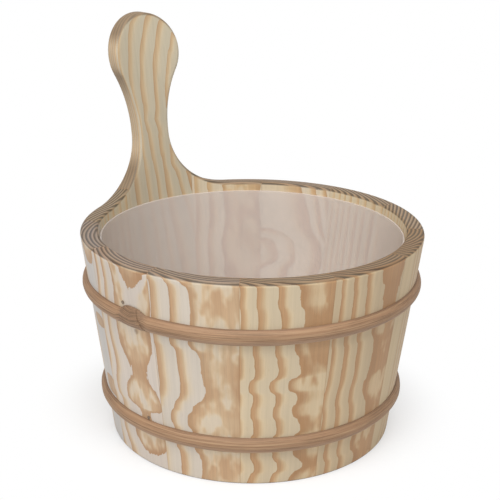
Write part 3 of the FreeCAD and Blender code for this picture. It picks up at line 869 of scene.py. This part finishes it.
def hoop_mesh(name, level, joint, settings, seed):
    """One hoop of split cane, swept round the staves, its ends meeting at a slant by the knot."""
    cane, bucket = settings.cane, settings.bucket
    lean = math.atan(slope(bucket))
    radius = bucket.foot_radius + math.tan(lean) * level
    width, thick = cane.width, cane.thickness
    bow = (width * width / 4 + thick * thick) / (2 * thick)
    knot_middle = -(cane.knot_length / 2 - cane.knot_lap) / radius
    # Points across the outside, and how far out to the edges the flat back reaches
    sides, back = 26, 0.94
    # The rest in millimetres: how far the knot and its fibres swell, how far the edges wander
    # over a long way and a short one, and how far the cane's end stands up and its start drops
    swelling, knot_fibre = 0.3, 0.06
    wander, waver = 0.28, 0.18
    end_rise, end_run = 0.15, 9
    start_drop, start_run = 0.25, 7
    gap = 0.16 * MM / radius
    points, faces = [], []

    def uneven(turn, across, long, fine, shift):
        """Noise that runs on round the hoop; long is its length along the cane in millimetres."""
        size = radius / MM / long
        place = (math.cos(turn) * size + seed, math.sin(turn) * size, across * fine + shift)
        return noise.noise(Vector(place))

    def outside(turn, across):
        """Height of the cane's outside above the staves, and how far a point moves up or down."""
        height = math.sqrt(max(bow * bow - (across * (width / 2)) ** 2, 0)) - (bow - thick)
        along = turn * radius / MM
        ridge = uneven(turn, across, 38, 4.2, 0) + 0.7 * uneven(turn, across, 24, 9.5, 4)
        slow = uneven(turn, 0, 70, 1, 1)
        lengthwise = (turn - knot_middle) * radius / (cane.knot_length / 2)
        swell = max(0.0, 1 - lengthwise * lengthwise)
        swell = swell * swell * (3 - 2 * swell)
        slanted = math.sin((along * 0.75 + across * 5.2) * 2.1) * swell
        height += cane.fibre * ridge * (1 - abs(across) ** 4)
        crown = 1 - across * across
        height += swell * swelling * MM * (0.6 + across) + slanted * knot_fibre * MM * crown
        shift = wander * MM * slow + waver * MM * uneven(turn, across, 17, 1, 9)
        rise = cane.knot_rise * swell * max(0.0, across) ** 1.5
        rise += 0.5 * MM * swell * min(0.0, across)
        return max(height, 0.05 * MM), shift + rise

    def turn_at(row, across):
        """Turn from the joint, which slants: the upper edge ends sooner than the lower one."""
        start = gap / 2 - cane.slant / radius * across / 2
        return start + (2 * math.pi - gap) * row / cane.rows

    def spot(turn, up_stave, height):
        """A point by its turn from the joint, its way up the staves, and its height above them."""
        out = radius + up_stave * math.sin(lean) + height * math.cos(lean)
        angle = math.radians(90) + joint + turn
        x, y = BUCKET_AXIS[0] + out * math.cos(angle), BUCKET_AXIS[1] + out * math.sin(angle)
        return x, y, level + up_stave * math.cos(lean) - height * math.sin(lean)

    for row in range(cane.rows + 1):
        to_start = 2 * math.pi * radius * row / cane.rows
        to_end = 2 * math.pi * radius - to_start
        for side in range(sides + 1):
            across = -math.cos(math.pi * side / sides)
            turn = turn_at(row, across)
            before_joint = turn if to_start < to_end else turn - 2 * math.pi
            height, shift = outside(before_joint, across)
            # The knot's end stands a little proud of the end that it meets
            crown = 1 - across * across
            height += end_rise * MM * max(0.0, 1 - to_end / (end_run * MM)) * crown
            height -= start_drop * MM * max(0.0, 1 - to_start / (start_run * MM)) * crown
            points.append(spot(turn, across * width / 2 + shift, height))
        for across in (back, -back):
            points.append(spot(turn_at(row, across), across * width / 2, 0.0))
    ring = sides + 3
    for row in range(cane.rows):
        for side in range(ring):
            a, b = row * ring + side, row * ring + (side + 1) % ring
            faces.append((a, a + ring, b + ring, b))
    faces.append(tuple(range(ring)))
    faces.append(tuple(range(cane.rows * ring + ring - 1, cane.rows * ring - 1, -1)))
    mesh = bpy.data.meshes.new(name)
    mesh.from_pydata(points, [], faces)
    mesh.validate()
    mesh.update()
    for face in mesh.polygons:
        face.use_smooth = len(face.vertices) == 4
    hoop = bpy.data.objects.new(name, mesh)
    bpy.context.scene.collection.objects.link(hoop)
    return hoop


def piece(name):
    """One piece of the frame; a missing one stops the script, which an operator alone would not."""
    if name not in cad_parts:
        raise RuntimeError(f"there is no {name}")
    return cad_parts[name]


class PIGGIN_OT_staves(bpy.types.Operator):
    """Give the handle stave and the plain staves their pine, each with its own figure"""

    bl_idname = "piggin.dress_staves"
    bl_label = "Dress the staves"

    def execute(self, context):
        settings = context.scene.piggin
        group = bpy.data.node_groups.get("Pine") or pine_group(settings.wood)
        for number in range(len(STAVE_ANGLES)):
            name = f"stave_{number:02d}" if number else "handle_stave"
            give_material(piece(name), stave_material(name, number, settings, group))
        return {"FINISHED"}


class PIGGIN_OT_head(bpy.types.Operator):
    """Give the boards and dowels of the bottom head their wood"""

    bl_idname = "piggin.dress_head"
    bl_label = "Dress the head"

    def execute(self, context):
        settings = context.scene.piggin
        group = bpy.data.node_groups.get("Pine") or pine_group(settings.wood)
        # Seed, depth of the tree's heart below a board, and how far aside the heart lies
        boards = {
            "head_board_left": (11.0, 70, -60.0),
            "head_board_middle": (23.0, 62, 6.0),
            "head_board_right": (37.0, 75, 48.0),
            "head_dowels": (51.0, 90, 15.0),
        }
        for name, (seed, depth, aside) in boards.items():
            material = board_material(name, seed, settings, group, depth, aside)
            give_material(piece(name), material)
        return {"FINISHED"}


class PIGGIN_OT_hoops(bpy.types.Operator):
    """Sweep the two split-cane hoops round the staves"""

    bl_idname = "piggin.wind_hoops"
    bl_label = "Wind the hoops"

    def execute(self, context):
        settings = context.scene.piggin
        cane = settings.cane
        for name, level, joint, seed in (
            ("upper_hoop", cane.upper_level, cane.upper_joint, 3.7),
            ("lower_hoop", cane.lower_level, cane.lower_joint, 11.2),
        ):
            # This stops if the hoop that the swept one stands for is missing
            piece(name)
            hoop = hoop_mesh(f"{name}_cane", level, joint, settings, seed)
            give_material(hoop, cane_material(name, level, joint, settings))
            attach(hoop, "bucket")
            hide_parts(name)
        return {"FINISHED"}


class PIGGIN_OT_brads(bpy.types.Operator):
    """Give the brads over the hoops their steel"""

    bl_idname = "piggin.dress_brads"
    bl_label = "Dress the brads"

    def execute(self, context):
        steel = steel_material(context.scene.piggin)
        for name in ("upper_hoop_brads", "lower_hoop_brads"):
            give_material(piece(name), steel)
        return {"FINISHED"}


class PIGGIN_OT_liner(bpy.types.Operator):
    """Give the liner its milky plastic"""

    bl_idname = "piggin.dress_liner"
    bl_label = "Dress the liner"

    def execute(self, context):
        give_material(piece("liner"), milk_material(context.scene.piggin))
        return {"FINISHED"}


class PIGGIN_OT_stage(bpy.types.Operator):
    """Set up the camera, the lights, the white surround and the floor"""

    bl_idname = "piggin.set_stage"
    bl_label = "Set the stage"

    def execute(self, context):
        stage, scene = context.scene.piggin.stage, context.scene
        scene.view_settings.view_transform = "Standard"
        self.set_camera(stage, scene)
        self.set_lights(stage, scene)
        self.set_surround(stage, scene)
        self.set_floor(stage, scene)
        return {"FINISHED"}

    @staticmethod
    def set_camera(stage, scene):
        lens = bpy.data.cameras.new("camera")
        lens.lens, lens.sensor_width, lens.sensor_fit = stage.lens, 36.0, "HORIZONTAL"
        camera = bpy.data.objects.new("camera", lens)
        turn = Matrix.Identity(4)
        for angle, axis in zip(stage.aim, "ZXZ"):
            turn = turn @ Matrix.Rotation(angle, 4, axis)
        camera.matrix_world = Matrix.Translation(stage.eye) @ turn
        scene.collection.objects.link(camera)
        scene.camera = camera

    @staticmethod
    def set_lights(stage, scene):
        width, middle = 1.1, Vector((0.0, 0.0, 0.1))
        for name, place, power in (
            ("key_light", Vector((-1.4, -0.25, 1.3)), stage.key_power),
            ("top_light", Vector((-0.45, -0.55, 1.65)), stage.top_power),
        ):
            lamp = bpy.data.lights.new(name, "AREA")
            lamp.shape, lamp.size, lamp.energy = "DISK", width, power
            soft = bpy.data.objects.new(name, lamp)
            turn = (middle - place).to_track_quat("-Z", "Y").to_matrix().to_4x4()
            soft.matrix_world = Matrix.Translation(place) @ turn
            scene.collection.objects.link(soft)

    def set_surround(self, stage, scene):
        """Even white light; what the camera sees directly is plain white."""
        world = bpy.data.worlds.new("surround")
        scene.world = world
        world.use_nodes = True
        w = Wiring(world.node_tree)
        back = world.node_tree.nodes["Background"]
        w.join(back.inputs["Color"], WHITE)
        w.join(back.inputs["Strength"], w.ramp(self.seen(w), 0.0, 1.0, stage.sky, 1.0))

    def set_floor(self, stage, scene):
        """A matt floor that shows its shade near the bucket and runs out into the white."""
        steps, reach = 48, 12.0
        # Between these distances from the bucket's axis the shade runs out
        shade = (0.1, 0.165)
        turns = [math.tau * step / steps for step in range(steps)]
        rim = [(reach * math.cos(turn), reach * math.sin(turn), 0.0) for turn in turns]
        mesh = bpy.data.meshes.new("floor")
        mesh.from_pydata(rim, [], [tuple(range(steps))])
        mesh.update()
        floor = bpy.data.objects.new("floor", mesh)
        scene.collection.objects.link(floor)
        material, w, shader = new_material("floor")
        x, y, z = w.apart(w.raw())
        speck = w.grain((x, y, z), FLOOR_SPECK, 0.0, 3.0)
        colour = w.lit(stage.floor, w.ramp(speck, *NOISE_RANGE, 0.985, 1.0))
        set_surface(w, shader, colour, w.ramp(speck, *NOISE_RANGE, 0.85, 0.95))
        shader.inputs["Specular IOR Level"].default_value = 0.0
        white = w.node("ShaderNodeEmission", {"Color": WHITE, "Strength": 1.0})
        seen = w.times(self.seen(w), w.span(w.length(x, y), *shade, 0.55, 1.0))
        mixed = {0: seen, 1: shader.outputs[0], 2: white.outputs[0]}
        both = w.node("ShaderNodeMixShader", mixed)
        w.join(material.node_tree.nodes["Material Output"].inputs["Surface"], both.outputs[0])
        give_material(floor, material)

    @staticmethod
    def seen(w):
        """1 for what the camera sees itself, in gloss or through something clear."""
        path = w.node("ShaderNodeLightPath").outputs
        either = w.reckon("MAXIMUM", path["Is Camera Ray"], path["Is Glossy Ray"])
        return w.reckon("MAXIMUM", either, path["Is Transmission Ray"])


STEPS = (
    PIGGIN_OT_stage,
    PIGGIN_OT_staves,
    PIGGIN_OT_head,
    PIGGIN_OT_hoops,
    PIGGIN_OT_brads,
    PIGGIN_OT_liner,
)
GROUPS = ("wood", "bucket", "cane", "steel", "liner", "stage")


class PIGGIN_PT_panel(bpy.types.Panel):
    """Sizes, colours and making steps of the piggin"""

    bl_idname = "PIGGIN_PT_panel"
    bl_label = "Wooden piggin"
    bl_space_type = "VIEW_3D"
    bl_region_type = "UI"
    bl_category = "Piggin"

    def draw(self, context):
        settings = context.scene.piggin
        for step in STEPS:
            self.layout.operator(step.bl_idname)
        for name in GROUPS:
            box = self.layout.box()
            box.label(text=name.capitalize())
            group = getattr(settings, name)
            for key in group.bl_rna.properties.keys():
                if key not in {"rna_type", "name"}:
                    box.prop(group, key)


CLASSES = (
    PigginWood,
    PigginBucket,
    PigginCane,
    PigginSteel,
    PigginLiner,
    PigginStage,
    PigginSettings,
    *STEPS,
    PIGGIN_PT_panel,
)


def register():
    for item in CLASSES:
        bpy.utils.register_class(item)
    bpy.types.Scene.piggin = PointerProperty(type=PigginSettings)


def unregister():
    del bpy.types.Scene.piggin
    for item in reversed(CLASSES):
        bpy.utils.unregister_class(item)


def main():
    register()
    for step in STEPS:
        area, name = step.bl_idname.split(".")
        getattr(getattr(bpy.ops, area), name)()


if __name__ == "__main__":
    main()
